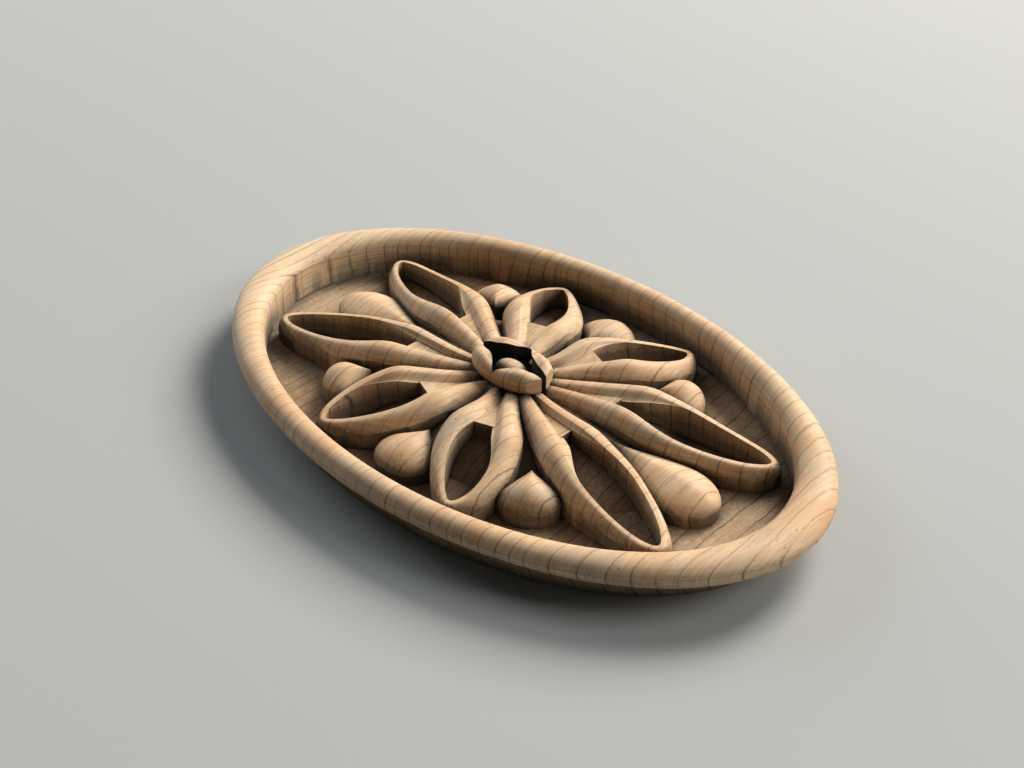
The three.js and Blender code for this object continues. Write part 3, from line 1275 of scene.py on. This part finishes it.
@dataclass(frozen=True)
class Fibres:
    """Fine streaks along Y, layers in Z, specks, ragged pores, rare knots and broad patches of tone."""

    fineness: float = 1.0
    thin: Cloud = Cloud((2.2, 0.16, 0.16), 4.0, 0.72)
    thin_share: float = 0.75
    wide: Cloud = Cloud((0.55, 0.05, 0.05))
    layer: Cloud = Cloud((0.07, 0.07, 1.9), 2.0, 0.6)
    speckle: Cloud = Cloud((1.5, 0.9, 0.9), 4.0, 0.8)
    pores: Triple = (1.5, 0.6, 0.8)
    pore_size: Step = Step(0.1, 0.3, 1.0, 0.0)
    pore_chance: Step = Step(0.66, 0.76)
    torn: Cloud = Cloud((2.0, 1.2, 1.2))
    torn_gain: float = 0.7
    clusters: Cloud = Cloud((0.11, 0.07, 0.08))
    clustered: Step = Step(0.48, 0.6)
    knots: Triple = (0.2, 0.13, 0.16)
    knot_size: Step = Step(0.02, 0.09, 1.0, 0.0)
    knot_chance: Step = Step(0.72, 0.8)
    patch: Cloud = Cloud((0.09, 0.05, 0.07), 3.0, 0.6)
    blush: Cloud = Cloud((0.07, 0.045, 0.06), 3.0, 0.6)
    blush_shift: Triple = (31.0, 17.0, 5.0)

    def group(self) -> bpy.types.NodeTree:
        """Builds the node group.

        Returns:
            The group, with outputs Streak, Layer, Speckle, Pore, Knot, Patch and Blush.
        """
        n, given, leave = new_group(
            "fibres",
            {"Place": None, "Fineness": self.fineness},
            ("Streak", "Layer", "Speckle", "Pore", "Knot", "Patch", "Blush"),
        )
        scaled = n.scaled(given["Place"], given["Fineness"])
        thin = n.times(n.noise(scaled, self.thin), self.thin_share)
        wide = n.times(n.noise(scaled, self.wide), 1 - self.thin_share)
        middle, chances = n.spots(scaled, self.pores)
        ragged = n.plus(middle, n.centred(n.noise(scaled, self.torn), self.torn_gain))
        pore = n.times(n.ramp(ragged, self.pore_size), n.ramp(chances[1], self.pore_chance))
        pore = n.times(pore, n.ramp(n.noise(scaled, self.clusters), self.clustered))
        heart, luck = n.spots(scaled, self.knots)
        shifted = n.add("VectorMath", {0: scaled, 1: self.blush_shift}, operation="ADD").outputs[0]
        return n.give(leave, {
            "Streak": n.plus(thin, wide),
            "Layer": n.noise(scaled, self.layer),
            "Speckle": n.noise(scaled, self.speckle),
            "Pore": pore,
            "Knot": n.times(n.ramp(heart, self.knot_size), n.ramp(luck[0], self.knot_chance)),
            "Patch": n.noise(scaled, self.patch),
            "Blush": n.noise(shifted, self.blush),
        })


@dataclass(frozen=True)
class PaintedShade:
    """Painted shade: dark tone laid where little of the sky is seen, deepest where none is."""

    unshaded: float = 0.07
    full: float = 0.52
    most: float = 0.76
    power: float = 0.85
    patch_gain: float = 0.12
    shade_noise_gain: Step = Step(0.05, 0.3, 0.0, 0.5)
    deep: Step = Step(0.75, 1.0)
    deepest: float = 0.995

    def group(self) -> bpy.types.NodeTree:
        """Builds the node group.

        Returns:
            The group, with output Amount.
        """
        levels = {"Unshaded": self.unshaded, "Full": self.full, "Most": self.most}
        inputs = {"Hollow": 0.0, "Patch": 0.5, "Shade Noise": 0.5, **levels}
        n, given, leave = new_group("painted_shade", inputs, ("Amount",))
        # Noise breaks up the painted shade.
        uneven = n.centred(given["Patch"], self.patch_gain)
        uneven = n.plus(uneven, n.centred(given["Shade Noise"], n.ramp(given["Hollow"], self.shade_noise_gain)))
        level = n.plus(given["Hollow"], uneven)
        span = {"Value": level, "From Min": given["Unshaded"], "From Max": given["Full"]}
        amount = n.add("MapRange", span, interpolation_type="LINEAR").outputs["Result"]
        shaded = n.times(n.math("POWER", amount, self.power), given["Most"])
        # Painted shade: fully shut-in places such as the star are pushed to near black.
        deep = n.ramp(given["Hollow"], self.deep)
        deep = n.times(deep, n.math("SUBTRACT", self.deepest, given["Most"]))
        return n.give(leave, {"Amount": n.plus(shaded, deep)})


@dataclass(frozen=True)
class BareOak:
    """Bare sanded oak with dark growth lines, open pores and painted shade in the hollows."""

    name: str = "bare_oak"
    warm: Colour = (0.61, 0.385, 0.22, 1)
    cream: Colour = (0.72, 0.54, 0.35, 1)
    pale: Colour = (0.86, 0.7, 0.48, 1)
    grey: Colour = (0.44, 0.37, 0.26, 1)
    orange: Colour = (0.62, 0.33, 0.16, 1)
    umber: Colour = (0.26, 0.17, 0.1, 1)
    line: Colour = (0.06, 0.045, 0.03, 1)
    # Painted shade: near-black colour mixed in where little of the sky is seen.
    shade: Colour = (0.03, 0.031, 0.028, 1)
    creaminess: Step = Step(0.36, 0.64)
    greyness: Step = Step(0.44, 0.66, 0.0, 0.45)
    blushing: Step = Step(0.46, 0.64, 0.0, 0.46)
    speckling: Step = Step(0.5, 0.72, 0.0, 0.4)
    layering: Step = Step(0.47, 0.62, 0.0, 0.36)
    layer_by_slope: Step = Step(0.35, 0.95, 1.0, 0.15)
    # Painted highlight and shade: growth lines fade on upward faces and show fully in hollows.
    lines_faded_on_lit_tops: Step = Step(0.2, 1.0, 1.0, 0.6)
    line_by_hollow: Step = Step(0.08, 0.3)
    sapwood_strength: float = 0.6
    tone_strength: float = 0.22
    minor_strength: float = 0.5
    pore_strength: float = 0.45
    knot_strength: float = 0.8
    line_strength: float = 0.9
    shade_noise: Cloud = Cloud((1.6, 1.6, 1.6), 2.0, 0.8)
    streak_height: float = 0.4
    line_height: float = -0.5
    pore_height: float = -0.4
    speckle_height: float = 0.25
    layer_height: float = -0.35
    bump_strength: float = 0.4
    bump_distance: float = 0.00025
    roughness: float = 0.52
    streak_roughness: float = 0.14
    painted_shade_roughness: float = 0.4
    specular: float = 0.4
    lines: GrowthLines = GrowthLines()
    fibres: Fibres = Fibres()
    painted_shade: PaintedShade = PaintedShade()

    def material(self) -> bpy.types.Material:
        """Builds the material.

        Returns:
            The material.
        """
        made = bpy.data.materials.new(self.name)
        made.use_nodes = True
        tree = made.node_tree
        tree.nodes.clear()
        n = Nodes(tree)
        source = n.add("TexCoord").outputs
        place = n.scaled(source["Object"], 1 / MM)
        hollow = n.add("Attribute", attribute_name=Hollows().attribute).outputs["Fac"]
        rings, fibre, painted_shade = (
            n.add("Group", node_tree=effect.group()) for effect in (self.lines, self.fibres, self.painted_shade)
        )
        tree.links.new(place, rings.inputs["Place"])
        tree.links.new(place, fibre.inputs["Place"])
        tree.links.new(hollow, painted_shade.inputs["Hollow"])
        tree.links.new(fibre.outputs["Patch"], painted_shade.inputs["Patch"])
        tree.links.new(n.noise(place, self.shade_noise), painted_shade.inputs["Shade Noise"])
        given = {**rings.outputs, **fibre.outputs, **painted_shade.outputs, "Hollow": hollow}
        given["Level"] = n.add("SeparateXYZ", {0: source["Normal"]}).outputs["Z"]
        bump = n.add("Bump", {
            "Height": self.height(n, given), "Strength": self.bump_strength, "Distance": self.bump_distance,
        })
        rough = n.plus(self.roughness, n.times(given["Streak"], self.streak_roughness))
        # Rougher where the painted shade lies, so no sheen shows on it.
        painted_shade_rough = n.times(given["Amount"], self.painted_shade_roughness)
        surface = n.add("BsdfPrincipled", {
            "Base Color": self.colour(n, given),
            "Roughness": n.math("ADD", rough, painted_shade_rough, clamp=True),
            "Normal": bump.outputs["Normal"],
            "Specular IOR Level": self.specular,
        })
        leave = n.add("OutputMaterial")
        tree.links.new(surface.outputs["BSDF"], leave.inputs["Surface"])
        return made

    def colour(self, n: Nodes, given: dict[str, Socket]) -> Socket:
        """Lays the tones of the wood over each other, then its lines and the painted shade.

        Args:
            n: The nodes helper.
            given: Sockets by name.

        Returns:
            Socket with the colour.
        """
        level = given["Level"]
        layer = n.times(n.ramp(given["Layer"], self.layering), n.ramp(level, self.layer_by_slope))
        # Growth lines faded on upward faces as a painted highlight, and shown fully in the painted shade of
        # hollows.
        lines_in_shade = n.ramp(given["Hollow"], self.line_by_hollow)
        shown = n.times(n.math("MAXIMUM", n.ramp(level, self.lines_faded_on_lit_tops), lines_in_shade), self.line_strength)
        coats = (
            (n.ramp(given["Patch"], self.greyness), self.grey),
            (n.ramp(given["Blush"], self.blushing), self.orange),
            (n.times(given["Sapwood"], self.sapwood_strength), self.pale),
            (n.ramp(given["Speckle"], self.speckling), self.grey),
            (n.times(given["Tone"], self.tone_strength), self.orange),
            (layer, self.umber),
            (n.times(given["Minor"], self.minor_strength), self.umber),
            (n.times(given["Pore"], self.pore_strength), self.line),
            (n.times(given["Knot"], self.knot_strength), self.line),
            (n.times(given["Line"], shown), self.line),
            # Painted shade over everything, by the share of sky missed.
            (given["Amount"], self.shade),
        )
        colour = n.mix(n.ramp(given["Streak"], self.creaminess), self.warm, self.cream)
        for amount, tone in coats:
            colour = n.mix(amount, colour, tone)
        return colour

    def height(self, n: Nodes, given: dict[str, Socket]) -> Socket:
        """Height of the fine relief.

        Args:
            n: The nodes helper.
            given: Sockets by name.

        Returns:
            Socket with the height.
        """
        height = n.times(given["Streak"], self.streak_height)
        gains = {
            "Line": self.line_height, "Pore": self.pore_height,
            "Speckle": self.speckle_height, "Layer": self.layer_height,
        }
        for label, gain in gains.items():
            height = n.plus(height, n.times(given[label], gain))
        return height


@dataclass(frozen=True)
class Lamp:
    """Soft square lamp: where it stands round the carving in degrees, its side and distance in metres."""

    name: str
    azimuth: float
    elevation: float
    size: float
    power: float
    colour: Triple
    distance: float = 2.0

    def hang(self, target: Vector) -> None:
        """Makes the lamp and turns it to the carving.

        Args:
            target: The point that it looks at, in metres.
        """
        a, e = math.radians(self.azimuth), math.radians(self.elevation)
        back = Vector((math.cos(a) * math.cos(e), math.sin(a) * math.cos(e), math.sin(e)))
        data = bpy.data.lights.new(self.name, "AREA")
        data.size = self.size
        data.energy = self.power
        data.color = self.colour
        made = bpy.data.objects.new(self.name, data)
        made.location = target + back * self.distance
        made.rotation_euler = back.to_track_quat("Z", "Y").to_euler()
        bpy.context.scene.collection.objects.link(made)


@dataclass(frozen=True)
class Studio:
    """Pale floor, soft light and the camera at the photograph's viewing angle."""

    target: Triple = (0.0, 0.0, 0.00772)
    distance: float = 0.3152
    direction: Triple = (0.57735, -0.57735, 0.57735)
    field_of_view: float = 40.0
    sensor: float = 36.0
    floor_half: float = 3.0
    floor_colour: Colour = (0.41, 0.432, 0.445, 1)
    floor_roughness: float = 0.9
    sky: Colour = (0.78, 0.95, 1.0, 1)
    sky_strength: float = 0.03
    lamps: tuple[Lamp, ...] = (
        Lamp("key", azimuth=95, elevation=35, size=0.9, power=60.0, colour=(1.0, 0.92, 0.81)),
        Lamp("right", azimuth=40, elevation=32, size=1.0, power=20.0, colour=(1.0, 0.95, 0.88)),
        Lamp("left", azimuth=180, elevation=25, size=1.2, power=16.0, colour=(0.95, 0.98, 1.0)),
        Lamp("top", azimuth=120, elevation=78, size=1.4, power=2.0, colour=(0.97, 0.99, 1.0)),
    )

    def camera(self) -> None:
        """Makes the camera and gives it to the scene."""
        data = bpy.data.cameras.new("camera")
        data.sensor_width = self.sensor
        data.lens = self.sensor / 2 / math.tan(math.radians(self.field_of_view / 2))
        made = bpy.data.objects.new("camera", data)
        made.location = Vector(self.target) + Vector(self.direction) * self.distance
        made.rotation_euler = (-Vector(self.direction)).to_track_quat("-Z", "Y").to_euler()
        bpy.context.scene.collection.objects.link(made)
        bpy.context.scene.camera = made

    def floor(self) -> None:
        """Lays the pale floor under the carving."""
        mesh = bpy.data.meshes.new("floor")
        half = self.floor_half
        corners = [(-half, -half, 0), (half, -half, 0), (half, half, 0), (-half, half, 0)]
        mesh.from_pydata(corners, [], [(0, 1, 2, 3)])
        made = bpy.data.objects.new("floor", mesh)
        paint = bpy.data.materials.new("floor_paint")
        paint.use_nodes = True
        surface = paint.node_tree.nodes["Principled BSDF"]
        surface.inputs["Base Color"].default_value = self.floor_colour
        surface.inputs["Roughness"].default_value = self.floor_roughness
        mesh.materials.append(paint)
        bpy.context.scene.collection.objects.link(made)

    def light(self) -> None:
        """Sets the lamps and the sky."""
        for lamp in self.lamps:
            lamp.hang(Vector(self.target))
        world = bpy.data.worlds.new("studio")
        world.use_nodes = True
        back = world.node_tree.nodes["Background"]
        back.inputs["Color"].default_value = self.sky
        back.inputs["Strength"].default_value = self.sky_strength
        bpy.context.scene.world = world
        bpy.context.scene.view_settings.view_transform = "Standard"


def main() -> None:
    """Builds the dressed carving and the studio round the CAD frame."""
    logging.basicConfig(level=logging.INFO, format="%(message)s")
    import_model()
    studio = Studio()
    studio.camera()
    studio.floor()
    studio.light()
    grain = Grain.FINE
    carving = Rosette().build(grain)
    carving.data.materials.clear()
    carving.data.materials.append(BareOak().material())
    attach(carving, "root")
    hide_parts("carved_rosette")
    LOG.info("%s: %d faces", carving.name, len(carving.data.polygons))


if __name__ == "__main__":
    main()
